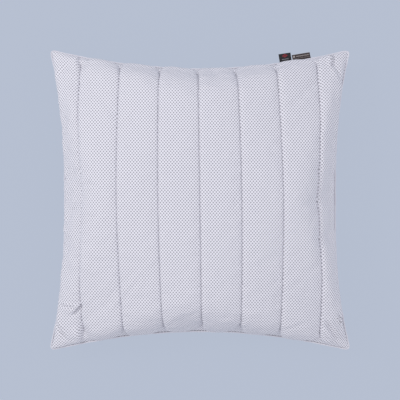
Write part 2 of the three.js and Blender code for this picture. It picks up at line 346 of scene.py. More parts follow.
# Short tucks that the sewing left in the front: place across and along, angle, length, width and depth
front_tucks = [
    (-0.287, -0.2515, 46, 0.034, 0.0036, 0.0070),
    (-0.310, -0.243, -8, 0.040, 0.0032, 0.0036),
    (-0.272, -0.325, 100, 0.070, 0.0120, 0.0105),
    (-0.327, -0.305, -62, 0.045, 0.0042, 0.0050),
    (-0.300, -0.022, -4, 0.038, 0.0022, 0.0016),
    (-0.249, -0.034, -5, 0.030, 0.0020, 0.0013),
    (-0.262, 0.062, 8, 0.040, 0.0040, 0.0012),
    (-0.270, 0.332, 80, 0.056, 0.0110, 0.0095),
    (-0.318, 0.300, 50, 0.050, 0.0070, 0.0026),
    (0.3125, 0.328, 82, 0.036, 0.0038, 0.0080),
    (0.322, 0.298, 118, 0.050, 0.0050, 0.0035),
    (0.328, -0.276, 113, 0.024, 0.0038, 0.0080),
    (0.307, -0.304, -56, 0.060, 0.0060, 0.0065),
    (0.300, -0.328, -50, 0.046, 0.0050, 0.0035),
    (-0.160, -0.200, 52, 0.090, 0.0060, 0.0014),
    (-0.150, 0.190, 48, 0.080, 0.0060, 0.0012),
    (0.215, -0.290, 20, 0.060, 0.0060, 0.0014),
]
thin_every = 2  # the inside of a panel has one line for so many on its outside
coarse = (slice(None, None, thin_every), slice(None, None, thin_every))
row_lines = 16  # grid lines from a row of stitching to the middle of a channel
seam_lines = 12  # and from there to a side seam
close_share = 0.2  # how even the spacing of those lines is, from 0 to 1
end_line_count = 241
end_line_evenness = 0.6


def from_row(count):
    """Places from a row of stitching, at 0, to a channel's middle, at 1, closest by the row."""
    t = np.arange(count + 1) / count
    return close_share * t + (1 - close_share) * t**2


half_side = panel_side / 2
row_to_middle = from_row(row_lines) * channel_pitch / 2
channel_lines = np.concatenate([row_to_middle, channel_pitch - row_to_middle[-2::-1]])
last_row = rows[-1]
outer_middle = last_row + (half_side - last_row) / 2
outer_lines = np.concatenate([
    last_row + from_row(row_lines) * (outer_middle - last_row),
    half_side - from_row(seam_lines)[-2::-1] * (half_side - outer_middle),
])
inner_lines = np.concatenate([row + channel_lines[:-1] for row in rows[:-1]])
u_lines = np.concatenate([-outer_lines[:0:-1], inner_lines, outer_lines]) / half_side
end_lines = np.linspace(-1, 1, end_line_count)
crowded = np.sin(end_lines * math.pi / 2)
v_lines = end_line_evenness * end_lines + (1 - end_line_evenness) * crowded


def cubic_weights(lines, count):
    """Weights that turn count evenly spaced values into values at the lines, on smooth curves."""
    place = (np.asarray(lines) + 1) / 2 * (count - 1)
    cell = np.clip(np.floor(place).astype(int), 0, count - 2)
    f = place - cell
    shares = [
        (-f + 2 * f**2 - f**3) / 2,
        (2 - 5 * f**2 + 3 * f**3) / 2,
        (f + 4 * f**2 - 3 * f**3) / 2,
        (-(f**2) + f**3) / 2,
    ]
    weights = np.zeros((len(f), count + 2))
    for k, share in enumerate(shares):
        weights[np.arange(len(f)), cell + k] += share
    # The two made-up values past the ends carry on in a straight line.
    inner = weights[:, 1:-1].copy()
    inner[:, 0] += 2 * weights[:, 0]
    inner[:, 1] -= weights[:, 0]
    inner[:, -1] += 2 * weights[:, -1]
    inner[:, -2] -= weights[:, -1]
    return inner


def resample(grid, v_at, u_at):
    by_v = cubic_weights(v_at, grid.shape[0])
    by_u = cubic_weights(u_at, grid.shape[1])
    return np.einsum("ai,ij...,bj->ab...", by_v, grid, by_u, optimize=True)


def soft_noise(seed, bumps):
    """Smooth random heights about zero over a panel, with so many bumps down and across it."""
    return resample(np.random.default_rng(seed).normal(0, 1, bumps), v_lines, u_lines)


def unit(vectors):
    return vectors / np.maximum(np.linalg.norm(vectors, axis=-1, keepdims=True), 1e-12)


def outward_normals(points, up):
    return unit(np.cross(np.gradient(points, axis=1), np.gradient(points, axis=0)) * up)


flat_u, flat_v = np.meshgrid(u_lines * half_side, v_lines * half_side)
flat_places = np.stack([flat_u, flat_v], axis=-1)
from_side_seam = half_side - np.abs(flat_u)
from_end_seam = half_side - np.abs(flat_v)


def tuck_relief(across, along, degrees, length, width, depth):
    """A short tuck in the cloth: a crease with a soft lip on one side of it."""
    turn = math.radians(degrees)
    x, y = flat_u - across, flat_v - along
    down = (x * math.cos(turn) + y * math.sin(turn)) / (length / 2)
    over = (y * math.cos(turn) - x * math.sin(turn)) / width
    lip = tuck_lip_height * np.exp(-((over - tuck_lip_place) ** 2))
    return depth * (lip - np.exp(-(over**2))) * np.exp(-(down**4))


def edge_roll():
    """How far the cloth rolls out over the piping: least along the bottom seam and in the corners."""
    near = np.minimum(from_side_seam, from_end_seam)
    roll = np.exp(-(((near - edge_roll_place) / edge_roll_width) ** 2))
    by_bottom = np.exp(-(((flat_v + half_side) / bottom_roll_reach) ** 2))
    into_corner = np.exp(-((from_side_seam + from_end_seam) / corner_roll_reach) ** 2)
    start = np.clip(near / edge_roll_start, 0, 1)
    kept = (1 - bottom_roll_loss * by_bottom) * (1 - corner_roll_loss * into_corner)
    return edge_roll_height * roll * start * kept


def quilted_relief(seed):
    """How far the face cloth stands out from the crest of the channels: negative in the grooves."""
    channel = np.clip(np.searchsorted(rows, flat_u), 0, len(rows))
    left = np.array([-half_side, *rows])[channel]
    right = np.array([*rows, half_side])[channel]
    share = (flat_u - left) / (right - left)
    outer = (channel == 0) | (channel == len(rows))
    # An outer channel has a row of stitching on one side only.
    to_row = np.where(channel == 0, right - flat_u, np.where(channel == len(rows), flat_u - left, 0))
    outer_rise = np.clip(to_row / (channel_pitch / 2), 0, 1)
    rise = np.where(outer, outer_rise * (2 - outer_rise), 4 * share * (1 - share))
    relief = channel_puff * (np.clip(rise, 0, 1) ** channel_fullness - 1)

    gap = np.abs(flat_u[..., None] - rows).min(axis=-1)
    strain = 1 + end_strain * np.exp(-from_end_seam / end_strain_reach)
    nearest = rows[np.abs(flat_u[..., None] - rows).argmin(axis=-1)]
    shoulder_width = np.where(flat_u > nearest, right_shoulder_width, left_shoulder_width)
    relief -= strain * shoulder_depth * np.exp(-gap / shoulder_width)
    relief += lap_height * (1 - 2 * share) * (1 - np.exp(-gap / shoulder_width))
    relief -= strain * crease_depth * np.exp(-((gap / crease_width) ** 2))
    pinch = np.exp(-from_end_seam / end_pinch_reach)
    relief -= end_pinch * pinch * np.exp(-((gap / end_pinch_width) ** 2))
    relief += scallop * pinch * (1 - np.exp(-((gap / scallop_width) ** 2)))

    puckered = soft_noise(seed, puckers) + small_share * soft_noise(seed + 1, fine_puckers)
    by_row = np.exp(-gap / pucker_reach) * (1 - np.exp(-gap / pucker_start))
    relief += pucker_height * puckered * by_row
    crinkled = soft_noise(seed + 2, crinkles) + small_share * soft_noise(seed + 3, long_crinkles)
    relief += crinkle_height * crinkled
    if seed == front_seed:
        for tuck in front_tucks:
            relief += tuck_relief(*tuck)
    held = np.clip(np.minimum(from_side_seam / side_hold, from_end_seam / end_hold), 0, 1)
    deepest = -room_share * np.minimum(from_side_seam, from_end_seam)
    return np.maximum(relief * held * (2 - held), deepest) + edge_roll()


rim_lift = 0.00175  # from the middle of the piping to each panel's edge
floor_softness = 0.003
corner_tip_reach = 0.014


def round_corner_tips(points):
    """Pulls the tip of each corner in, because a turned-out corner is never sharp."""
    x, y = points[..., 0], points[..., 1]
    short_of_tip = np.abs(panel_half - np.abs(x)) + np.abs(panel_half - np.abs(y))
    pull = corner_tip_pull * np.exp(-short_of_tip / corner_tip_reach)
    points = points.copy()
    points[..., 0] -= np.sign(x) * pull
    points[..., 1] -= np.sign(y) * pull
    return points


def lie_on_floor(points):
    points = points.copy()
    z = points[..., 2]
    points[..., 2] = (z + np.sqrt(z**2 + floor_softness**2)) / 2
    return points


def panel_surface(sheet, up, seed):
    """The outer surface of a panel, and the way out from it with its creases left out."""
    base = resample(sheet, v_lines, u_lines)
    base[..., 2] += up * rim_lift
    normals = outward_normals(base, up)
    surface = base + normals * quilted_relief(seed)[..., None]
    surface = round_corner_tips(surface)
    if up < 0:
        surface = lie_on_floor(surface)
    return surface, normals


front_surface, front_normals = panel_surface(front_sheet, 1, front_seed)
back_surface, back_normals = panel_surface(back_sheet, -1, back_seed)
panels = (
    ("front", 1, front_surface, front_normals, front_seed),
    ("back", -1, back_surface, back_normals, back_seed),
)

# --------------------------------------------------------------------------------------------------
# The face cloths: fine white cotton with a small lattice of grey dots printed on it, one cloth for each
# panel. Each is cut with a seam allowance and is held in the seam with the piping.

cloth_thickness = 0.0009
dot_spacing_across = 0.00686
dot_spacing_along = 0.0078
dot_radius = 0.0018
thread_pitch = 0.0005
ground_colour = (0.90, 0.89, 0.935, 1)
dot_colour = (0.395, 0.392, 0.42, 1)
washed_colour = (0.62, 0.62, 0.70, 1)
dot_blur = 0.14  # how soft a dot's edge is, as a share of its radius


def wire(tree, socket, value):
    if isinstance(value, bpy.types.NodeSocket):
        tree.links.new(value, socket)
    else:
        socket.default_value = value


def maths(tree, operation, a, b=None, c=None):
    node = tree.nodes.new("ShaderNodeMath")
    node.operation = operation
    for socket, value in zip(node.inputs, (a, b, c)):
        if value is not None:
            wire(tree, socket, value)
    return node.outputs[0]


def vector_maths(tree, operation, a, b=None):
    node = tree.nodes.new("ShaderNodeVectorMath")
    node.operation = operation
    wire(tree, node.inputs[0], a)
    if b is not None:
        wire(tree, node.inputs[1], b)
    return node.outputs["Value"] if operation == "LENGTH" else node.outputs["Vector"]


def add_node(tree, kind, **values):
    """A node with what goes into it, each a value or another node's output."""
    node = tree.nodes.new(kind)
    for name, value in values.items():
        wire(tree, node.inputs[name.replace("_", " ")], value)
    return node


def noise(tree, vector, scale, detail=2.0):
    return add_node(tree, "ShaderNodeTexNoise", Vector=vector, Scale=scale, Detail=detail).outputs["Fac"]


def flat_place(tree):
    """Where on the flat cloth a point of a piece was cut from."""
    node = tree.nodes.new("ShaderNodeUVMap")
    node.uv_map = "flat"
    return node.outputs["UV"]


def mixed_colour(tree, share, first, second):
    node = tree.nodes.new("ShaderNodeMix")
    node.data_type = "RGBA"
    wire(tree, node.inputs["Factor"], share)
    wire(tree, node.inputs["A"], first)
    wire(tree, node.inputs["B"], second)
    return node.outputs["Result"]


def bump(tree, height, distance, strength=1.0, under=None):
    node = add_node(tree, "ShaderNodeBump", Distance=distance, Strength=strength, Height=height)
    if under is not None:
        wire(tree, node.inputs["Normal"], under)
    return node.outputs["Normal"]


def dress(shader, colour, normal, roughness, gloss=0.5, sheen=0.0):
    """Gives a shader its colour and bumps, and how rough, glossy and fuzzy it is."""
    wire(shader.id_data, shader.inputs["Base Color"], colour)
    wire(shader.id_data, shader.inputs["Normal"], normal)
    shader.inputs["Roughness"].default_value = roughness
    shader.inputs["Specular IOR Level"].default_value = gloss
    shader.inputs["Sheen Weight"].default_value = sheen


# Plain weave: warp and weft threads that pass over and under each other in turn.
weave_group = bpy.data.node_groups.new("plain weave", "ShaderNodeTree")
for label, way, kind in (
    ("Place", "INPUT", "NodeSocketVector"),
    ("Pitch", "INPUT", "NodeSocketFloat"),
    ("Height", "OUTPUT", "NodeSocketFloat"),
):
    weave_group.interface.new_socket(label, in_out=way, socket_type=kind)
inside = weave_group.nodes.new("NodeGroupInput").outputs
threads = vector_maths(weave_group, "DIVIDE", inside["Place"], inside["Pitch"])
split = add_node(weave_group, "ShaderNodeSeparateXYZ", Vector=threads).outputs


def thread_tops(count):
    """The rounded tops of threads that lie side by side, from where a point is in thread counts."""
    wave = maths(weave_group, "SINE", maths(weave_group, "MULTIPLY", count, math.pi))
    return maths(weave_group, "ABSOLUTE", wave)


crossings = maths(weave_group, "ADD", *[maths(weave_group, "FLOOR", split[k]) for k in (0, 1)])
turn = maths(weave_group, "MODULO", maths(weave_group, "ABSOLUTE", crossings), 2.0)
warp = maths(weave_group, "MULTIPLY", thread_tops(split[0]), turn)
weft_turn = maths(weave_group, "SUBTRACT", 1.0, turn)
weft = maths(weave_group, "MULTIPLY", thread_tops(split[1]), weft_turn)
add_node(weave_group, "NodeGroupOutput", Height=maths(weave_group, "ADD", warp, weft))


def woven(tree, place, pitch, depth, strength, under=None):
    """The bumps of a plain weave, on top of any others."""
    weave = tree.nodes.new("ShaderNodeGroup")
    weave.node_tree = weave_group
    wire(tree, weave.inputs["Place"], place)
    weave.inputs["Pitch"].default_value = pitch
    return bump(tree, weave.outputs["Height"], depth, strength, under)


face_material, tree, shader = new_material("dotted_cotton")
on_cloth = flat_place(tree)
cell = (dot_spacing_across, dot_spacing_along, 1)
in_cells = vector_maths(tree, "DIVIDE", on_cloth, cell)


def distance_to_dot(shift):
    moved = vector_maths(tree, "ADD", in_cells, (shift, shift, 0))
    offset = vector_maths(tree, "SUBTRACT", vector_maths(tree, "FRACTION", moved), (0.5, 0.5, 0))
    return vector_maths(tree, "LENGTH", vector_maths(tree, "MULTIPLY", offset, (cell[0], cell[1], 0)))


nearest_dot = maths(tree, "MINIMUM", distance_to_dot(0.25), distance_to_dot(0.75))
edge = tree.nodes.new("ShaderNodeMapRange")
edge.interpolation_type = "SMOOTHSTEP"
wire(tree, edge.inputs["Value"], nearest_dot)
edge.inputs["From Min"].default_value = dot_radius * (1 - dot_blur)
edge.inputs["From Max"].default_value = dot_radius * (1 + dot_blur)
edge.inputs["To Min"].default_value = 1
edge.inputs["To Max"].default_value = 0
printed = mixed_colour(tree, edge.outputs["Result"], ground_colour, dot_colour)
washed_share = maths(tree, "MULTIPLY", noise(tree, on_cloth, 14, 3), 0.10)
washed = mixed_colour(tree, washed_share, printed, washed_colour)
creased = bump(tree, noise(tree, on_cloth, 120, 4), 0.0008, 0.35)
bumps = woven(tree, on_cloth, thread_pitch, 0.00006, 0.5, creased)
dress(shader, washed, bumps, roughness=0.82, gloss=0.25, sheen=0.15)
shader.inputs["Sheen Roughness"].default_value = 0.5


def make_piece(name, points, faces, material, places=None, body="pillow"):
    """A mesh object that rides on a body. places are the points' positions on the flat cloth."""
    mesh = bpy.data.meshes.new(name)
    faces = [list(map(int, face)) for face in faces]
    mesh.from_pydata(np.asarray(points).reshape(-1, 3).tolist(), [], faces)
    mesh.materials.append(material)
    mesh.shade_smooth()
    if places is not None:
        layer = mesh.uv_layers.new(name="flat")
        order = np.empty(len(mesh.loops), dtype=np.int64)
        mesh.loops.foreach_get("vertex_index", order)
        places = np.asarray(places, dtype=np.float32).reshape(-1, 2)
        layer.data.foreach_set("uv", places[order].ravel())
    piece = bpy.data.objects.new(name, mesh)
    bpy.context.collection.objects.link(piece)
    if body:
        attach(piece, body)
    return piece


def border(index):
    """The border of a grid of point numbers, anticlockwise as seen from above, once round."""
    return np.concatenate([index[0, :-1], index[:-1, -1], index[-1, :0:-1], index[:0:-1, 0]])


def numbered(grid):
    """The numbers of a grid of points, row after row."""
    return np.arange(grid.shape[0] * grid.shape[1]).reshape(grid.shape[:2])


def sunk(surface, normals, depth):
    return surface - normals * np.asarray(depth)[..., None]


def shelter(seed):
    """How much deeper the layers inside lie by narrow creases, which their points can't follow."""
    relief = quilted_relief(seed)
    lowest = relief
    for axis in (0, 1):
        sides = [(thin_every, thin_every) if k == axis else (0, 0) for k in (0, 1)]
        padded = np.pad(lowest, sides, mode="edge")
        near = np.lib.stride_tricks.sliding_window_view(padded, 2 * thin_every + 1, axis)
        lowest = near.min(axis=-1)
    return (relief - lowest)[coarse]


def panel_solid(surface, normals, up, seed):
    """A closed sheet of cloth: a fine outer surface, a plainer inner one, and the cut edge round them."""
    fine = numbered(surface)
    inner = sunk(surface[coarse], normals[coarse], cloth_thickness + shelter(seed))
    plain = fine.size + numbered(inner)
    faces = [*quad_faces(fine), *quad_faces(plain)[:, ::-1]]
    fine_edge, plain_edge = border(fine), border(plain)
    for k, start in enumerate(plain_edge):
        after = plain_edge[(k + 1) % len(plain_edge)]
        steps = [fine_edge[(thin_every * k + m) % len(fine_edge)] for m in range(thin_every + 1)]
        middle = thin_every // 2
        faces += [(start, b, a) for a, b in zip(steps[:middle], steps[1 : middle + 1])]
        faces.append((start, after, steps[middle]))
        faces += [(after, b, a) for a, b in zip(steps[middle:-1], steps[middle + 1 :])]
    if up < 0:
        faces = [tuple(face)[::-1] for face in faces]
    points = np.concatenate([surface.reshape(-1, 3), inner.reshape(-1, 3)])
    places = np.concatenate([flat_places.reshape(-1, 2), flat_places[coarse].reshape(-1, 2)])
    return points, faces, places


for side, up, surface, normals, seed in panels:
    name = f"{side}_face_cloth"
    points, faces, places = panel_solid(surface, normals, up, seed)
    panel = make_piece(f"{name}_quilted", points, faces, face_material, places)
    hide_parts(name)

# --------------------------------------------------------------------------------------------------
# The wadding: a thin sheet of carded white fibre under each face cloth, thick in the middle of each
# channel and pressed flat by the rows of stitching.

cloth_gap = 0.0003
wadding_depth = 0.0105  # from the crest of the face cloth to the far side of the wadding
wadding_pinched = 0.0008
edge_reach = 0.045  # over which all the layers come together towards the seam
wadding_at_seam = 0.15  # the share of its pinched thickness that is left at the seam


def fibre_material(name, colour, shade, fibre_scale, depth):
    """Carded fibre: long fine hairs that lie across each other, with soft clumps."""
    material, tree, shader = new_material(name)
    place = tree.nodes.new("ShaderNodeTexCoord").outputs["Object"]
    hairs = noise(tree, vector_maths(tree, "MULTIPLY", place, (1, 6, 1)), fibre_scale, 5)
    crossed = noise(tree, vector_maths(tree, "MULTIPLY", place, (5, 1, 2)), fibre_scale, 5)
    clumps = noise(tree, place, fibre_scale / 12, 2)
    tangle = maths(tree, "MAXIMUM", hairs, crossed)
    bumps = bump(tree, tangle, depth, 0.8, bump(tree, clumps, depth * 4, 0.5))
    tone = mixed_colour(tree, clumps, colour, shade)
    dress(shader, tone, bumps, roughness=0.95, gloss=0.1, sheen=0.3)
    return material


def layer_solid(outer, inner, up):
    """The closed solid between two coarse surfaces of a panel."""
    top = numbered(outer)
    under = top + top.size
    edge, under_edge = border(top), border(under)
    sides = np.stack([edge, under_edge, np.roll(under_edge, -1), np.roll(edge, -1)], axis=-1)
    faces = np.concatenate([quad_faces(top), quad_faces(under)[:, ::-1], sides])
    if up < 0:
        faces = faces[:, ::-1]
    return np.concatenate([outer.reshape(-1, 3), inner.reshape(-1, 3)]), faces


layer_places = np.concatenate([flat_places[coarse].reshape(-1, 2)] * 2)
edge_share = np.clip(np.minimum(from_side_seam, from_end_seam) / edge_reach, 0, 1)[coarse]
edge_share = edge_share * (2 - edge_share)
wadding_material = fibre_material(
    "carded_wadding",
    (0.86, 0.86, 0.88, 1),
    (0.72, 0.72, 0.75, 1),
    fibre_scale=900,
    depth=0.0004,
)

wadding_inside = {}
for side, up, surface, normals, seed in panels:
    name = f"{side}_wadding"
    outer = sunk(surface[coarse], normals[coarse], cloth_thickness + cloth_gap + shelter(seed))
    puffed = wadding_depth * edge_share + quilted_relief(seed)[coarse] - shelter(seed)
    pinched = wadding_pinched * (wadding_at_seam + (1 - wadding_at_seam) * edge_share)
    thickness = np.maximum(pinched, puffed - cloth_thickness - cloth_gap)
    inner = sunk(outer, normals[coarse], thickness)
    wadding_inside[up] = inner
    points, faces = layer_solid(outer, inner, up)
    wadding = make_piece(f"{name}_sheet", points, faces, wadding_material, layer_places)
    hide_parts(name)

# --------------------------------------------------------------------------------------------------
# The linings: plain white cotton under the wadding. The quilting is sewn through it, and it keeps the
# loose filling off the wadding.

lining_thickness = 0.0005
lining_at_seam = 0.2  # the share of its thickness that is left at the seam
lining_thread_pitch = 0.0008

lining_material, tree, shader = new_material("plain_white_cotton")
on_cloth = flat_place(tree)
tone = mixed_colour(tree, noise(tree, on_cloth, 60, 3), (0.80, 0.80, 0.82, 1), (0.70, 0.70, 0.73, 1))
bumps = woven(tree, on_cloth, lining_thread_pitch, 0.0001, 0.6)
dress(shader, tone, bumps, roughness=0.85, gloss=0.2)

lining_inside = {}
for side, up, surface, normals, seed in panels:
    name = f"{side}_lining"
    outer = sunk(wadding_inside[up], normals[coarse], np.full(edge_share.shape, cloth_gap / 2))
    thickness = lining_thickness * (lining_at_seam + (1 - lining_at_seam) * edge_share)
    inner = sunk(outer, normals[coarse], thickness)
    lining_inside[up] = inner
    points, faces = layer_solid(outer, inner, up)
    lining = make_piece(f"{name}_cloth", points, faces, lining_material, layer_places)
    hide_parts(name)

# --------------------------------------------------------------------------------------------------
# The filling: loose white fibre, teased out and packed into the cover by hand. It fills the space between
# the two linings, and thins out before it reaches the seam.

filling_gap = 0.0012
filling_inset = 0.035  # share of its width that the filling stays clear of the seam by
lump_height = 0.0006
lumps = (40, 36)
lump_seed = 60


def filling_surface(up, normals):
    middle = (lining_inside[1] + lining_inside[-1]) / 2
    lumpy = lump_height * (1 + soft_noise(lump_seed + up, lumps)[coarse])
    place = sunk(lining_inside[up], normals, filling_gap + lumpy)
    # The edge is drawn in from the seam, so the filling ends in a soft rounded rim.
    drawn_in = place.copy()
    drawn_in[..., :2] *= 1 - filling_inset
    shared = 1 - edge_share[..., None]
    level = middle.copy()
    level[..., :2] = drawn_in[..., :2]
    return drawn_in * (1 - shared) + level * shared


filling_points, filling_faces = layer_solid(
    filling_surface(1, front_normals[coarse]),
    filling_surface(-1, back_normals[coarse]),
    up=1,
)
# The two surfaces meet along their borders, so each pair of border points is one point.
grid = numbered(edge_share)
merged = np.arange(2 * grid.size)
merged[border(grid) + grid.size] = border(grid)
both_surfaces = merged[filling_faces[: 2 * quad_faces(grid).shape[0]]]
kept, filling_faces = np.unique(both_surfaces, return_inverse=True)
filling_material = fibre_material(
    "loose_fibre",
    (0.88, 0.88, 0.90, 1),
    (0.74, 0.74, 0.78, 1),
    fibre_scale=500,
    depth=0.001,
)
filling = make_piece(
    "loose_fibre_filling",
    filling_points[kept],
    filling_faces.reshape(-1, 4),
    filling_material,
)
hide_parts("fibre_filling")

# --------------------------------------------------------------------------------------------------
# The quilting: seven rows of lockstitch in white thread on each panel, drawn down into the grooves. Each
# stitch is a short plump loop that dives into the cloth at both ends.

stitch_pitch = 0.0036
stitch_length = 0.0031
thread_thickness = 0.0006
row_end_gap = 0.004  # from the seam to the first stitch
row_points = 900  # that a row is traced with
thread_proud = 0.25  # how far a stitch stands proud of the cloth, as a share of its thickness

thread_material, tree, shader = new_material("spun_thread")
place = tree.nodes.new("ShaderNodeTexCoord").outputs["Object"]
twist = noise(tree, vector_maths(tree, "MULTIPLY", place, (1, 0.35, 1)), 2600, 1)
tone = mixed_colour(tree, twist, (0.86, 0.86, 0.89, 1), (0.66, 0.66, 0.71, 1))
dress(shader, tone, bump(tree, twist, 0.0001, 0.6), roughness=0.55, sheen=0.2)


def stitch_tool():
    """A node tree that lays one plump stitch on each point, along its run and flat on the cloth."""
    tree = bpy.data.node_groups.new("stitches", "GeometryNodeTree")
    sockets = {}
    for label, kind in (
        ("Geometry", "NodeSocketGeometry"),
        ("Stitch length", "NodeSocketFloat"),
        ("Thread thickness", "NodeSocketFloat"),
        ("Thread", "NodeSocketMaterial"),
    ):
        sockets[label] = tree.interface.new_socket(label, in_out="INPUT", socket_type=kind).identifier
    tree.interface.new_socket("Geometry", in_out="OUTPUT", socket_type="NodeSocketGeometry")
    source = tree.nodes.new("NodeGroupInput").outputs

    def point_vector(name):
        """A vector that is kept with each point."""
        node = tree.nodes.new("GeometryNodeInputNamedAttribute")
        node.data_type = "FLOAT_VECTOR"
        node.inputs["Name"].default_value = name
        return node.outputs[0]

    plump = add_node(tree, "GeometryNodeMeshUVSphere", Segments=6, Rings=5, Radius=0.5)
    on_its_side = (0, math.pi / 2, 0)
    turned = add_node(
        tree, "GeometryNodeTransform", Geometry=plump.outputs["Mesh"], Rotation=on_its_side
    )
    along = add_node(tree, "FunctionNodeAlignRotationToVector", Vector=point_vector("run"))
    along.axis = "X"
    upright = add_node(
        tree,
        "FunctionNodeAlignRotationToVector",
        Rotation=along.outputs["Rotation"],
        Vector=point_vector("face"),
    )
    upright.axis = "Z"
    upright.pivot_axis = "X"
    size = add_node(
        tree,
        "ShaderNodeCombineXYZ",
        X=source["Stitch length"],
        Y=source["Thread thickness"],
        Z=source["Thread thickness"],
    )
    laid = add_node(
        tree,
        "GeometryNodeInstanceOnPoints",
        Points=source["Geometry"],
        Instance=turned.outputs["Geometry"],
        Rotation=upright.outputs["Rotation"],
        Scale=size.outputs[0],
    )
    real = add_node(tree, "GeometryNodeRealizeInstances", Geometry=laid.outputs["Instances"])
    dressed = add_node(
        tree, "GeometryNodeSetMaterial", Geometry=real.outputs["Geometry"], Material=source["Thread"]
    )
    smooth = add_node(tree, "GeometryNodeSetShadeSmooth", Geometry=dressed.outputs["Geometry"])
    add_node(tree, "NodeGroupOutput", Geometry=smooth.outputs["Geometry"])
    return tree, sockets


stitch_tree, stitch_sockets = stitch_tool()


def sew(name, places, runs, faces, length, thickness):
    """A piece with one stitch at each place."""
    mesh = bpy.data.meshes.new(f"{name}_places")
    mesh.from_pydata(places.tolist(), [], [])
    for label, values in (("run", runs), ("face", faces)):
        attribute = mesh.attributes.new(label, "FLOAT_VECTOR", "POINT")
        attribute.data.foreach_set("vector", values.astype(np.float32).ravel())
    marker = bpy.data.objects.new(f"{name}_places", mesh)
    bpy.context.collection.objects.link(marker)
    modifier = marker.modifiers.new("stitches", "NODES")
    modifier.node_group = stitch_tree
    modifier[stitch_sockets["Stitch length"]] = length
    modifier[stitch_sockets["Thread thickness"]] = thickness
    modifier[stitch_sockets["Thread"]] = thread_material
    bpy.context.view_layer.update()
    depsgraph = bpy.context.evaluated_depsgraph_get()
    sewn = bpy.data.meshes.new_from_object(marker.evaluated_get(depsgraph), depsgraph=depsgraph)
    bpy.data.objects.remove(marker)
    bpy.data.meshes.remove(mesh)
    sewn.name = name
    piece = bpy.data.objects.new(name, sewn)
    bpy.context.collection.objects.link(piece)
    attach(piece, "pillow")
    return piece


def on_panel(values, across, along):
    """Values of a panel's fine grid at places on the flat cloth, read between its lines."""
    column = np.interp(across, u_lines * half_side, np.arange(len(u_lines)))
    line = np.interp(along, v_lines * half_side, np.arange(len(v_lines)))
    i = np.clip(column.astype(int), 0, len(u_lines) - 2)
    j = np.clip(line.astype(int), 0, len(v_lines) - 2)
    f, g = (column - i)[:, None], (line - j)[:, None]
    near = values[j, i] * (1 - f) + values[j, i + 1] * f
    far = values[j + 1, i] * (1 - f) + values[j + 1, i + 1] * f
    return near * (1 - g) + far * g


def lengths_along(line):
    """How far along a line of points each of them is."""
    return np.concatenate([[0], np.cumsum(np.linalg.norm(np.diff(line, axis=0), axis=1))])


def points_at(line, lengths, at):
    return np.stack([np.interp(at, lengths, line[:, k]) for k in range(3)], axis=-1)


def even_steps(line, pitch):
    """Evenly spaced points along a line of points, its direction there, and their shares of its length."""
    lengths = lengths_along(line)
    at = np.arange(pitch / 2, lengths[-1], pitch)
    run = points_at(line, lengths, at + pitch / 4) - points_at(line, lengths, at - pitch / 4)
    return points_at(line, lengths, at), unit(run), at / lengths[-1]


for side, up, surface, normals, seed in panels:
    places, runs, faces = [], [], []
    along_row = np.linspace(-half_side + row_end_gap, half_side - row_end_gap, row_points)
    for row in rows:
        line = on_panel(surface, np.full(along_row.shape, row), along_row)
        at, run, share = even_steps(line, stitch_pitch)
        flat_along = along_row[0] + share * (along_row[-1] - along_row[0])
        face = unit(on_panel(normals, np.full(flat_along.shape, row), flat_along))
        places.append(at + face * thread_thickness * thread_proud)
        runs.append(run)
        faces.append(face)
    quilting = sew(
        f"{side}_quilting_stitches",
        *map(np.concatenate, (places, runs, faces)),
        stitch_length,
        thread_thickness,
    )
    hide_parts(*[f"{side}_quilting_row_{number}" for number in range(1, len(rows) + 1)])

# --------------------------------------------------------------------------------------------------
# The piping: a thin cotton cord in a folded white tape, sewn in between the panels all the way round. Its
# round edge stands just outside the seam, and its two raw edges lie inside the cover.

cord_radius = 0.001
tape_inner_radius = 0.0013
tape_outer_radius = 0.0017
cord_outset = 0.0021
flange_width = 0.009
flange_inner_half = 0.00015
flange_outer_half = 0.00055
tape_thread_pitch = 0.0006
corner_smoothing = 0.005
ring_steps = 880
pucker_pitch = 0.014
pucker_size = 0.00022
piping_roll = 0.9  # how far round it turns, in radians
piping_roll_start = 0.0006  # from the seam to where it has turned all the way
bottom_reach = 0.075  # the piping turns less and less within this distance of the bottom seam
roll_wobble = 0.15
roll_wobble_reach, roll_wobble_blur = 0.03, 0.01
bend_blur = 0.003
corner_room = 0.8  # how far in a bend is still clear, as a share of its radius
corner_squeeze = 0.02  # and how much is left of what would lie further in
tape_width_shown = 0.02  # what the tape's section spans on its flat cloth

rim = border(numbered(front_surface))
seam_line = (front_surface.reshape(-1, 3)[rim] + back_surface.reshape(-1, 3)[rim]) / 2
loop = np.concatenate([seam_line, seam_line[:1]])
loop_lengths = lengths_along(loop)
ring_at = np.arange(ring_steps) * loop_lengths[-1] / ring_steps
seam_path = points_at(loop, loop_lengths, ring_at)
ring_pitch = loop_lengths[-1] / ring_steps


def smooth_ring(values, reach):
    """Values round the ring, smoothed over so long a stretch of it."""
    steps = np.arange(ring_steps)
    away = np.minimum(steps, ring_steps - steps) * ring_pitch
    kernel = np.exp(-((away / reach) ** 2) / 2)
    kernel = kernel / kernel.sum()
    spectrum = np.fft.fft(kernel)
    if values.ndim > 1:
        spectrum = spectrum[:, None]
    return np.real(np.fft.ifft(np.fft.fft(values, axis=0) * spectrum, axis=0))


def ring_noise(seed, reach):
    rough = smooth_ring(np.random.default_rng(seed).normal(0, 1, ring_steps), reach)
    return rough / rough.std()


seam_path = smooth_ring(seam_path, corner_smoothing)
ring_run = unit(np.roll(seam_path, -1, axis=0) - np.roll(seam_path, 1, axis=0))
ring_out = unit(np.stack([ring_run[:, 1], -ring_run[:, 0], 0 * ring_run[:, 0]], axis=-1))
ring_up = unit(np.cross(ring_out, ring_run) * -1)
turning = np.cross(np.roll(ring_run, 1, axis=0), np.roll(ring_run, -1, axis=0))[:, 2]
bend_radius = 1 / np.maximum(smooth_ring(turning / (2 * ring_pitch), bend_blur), 1e-6)

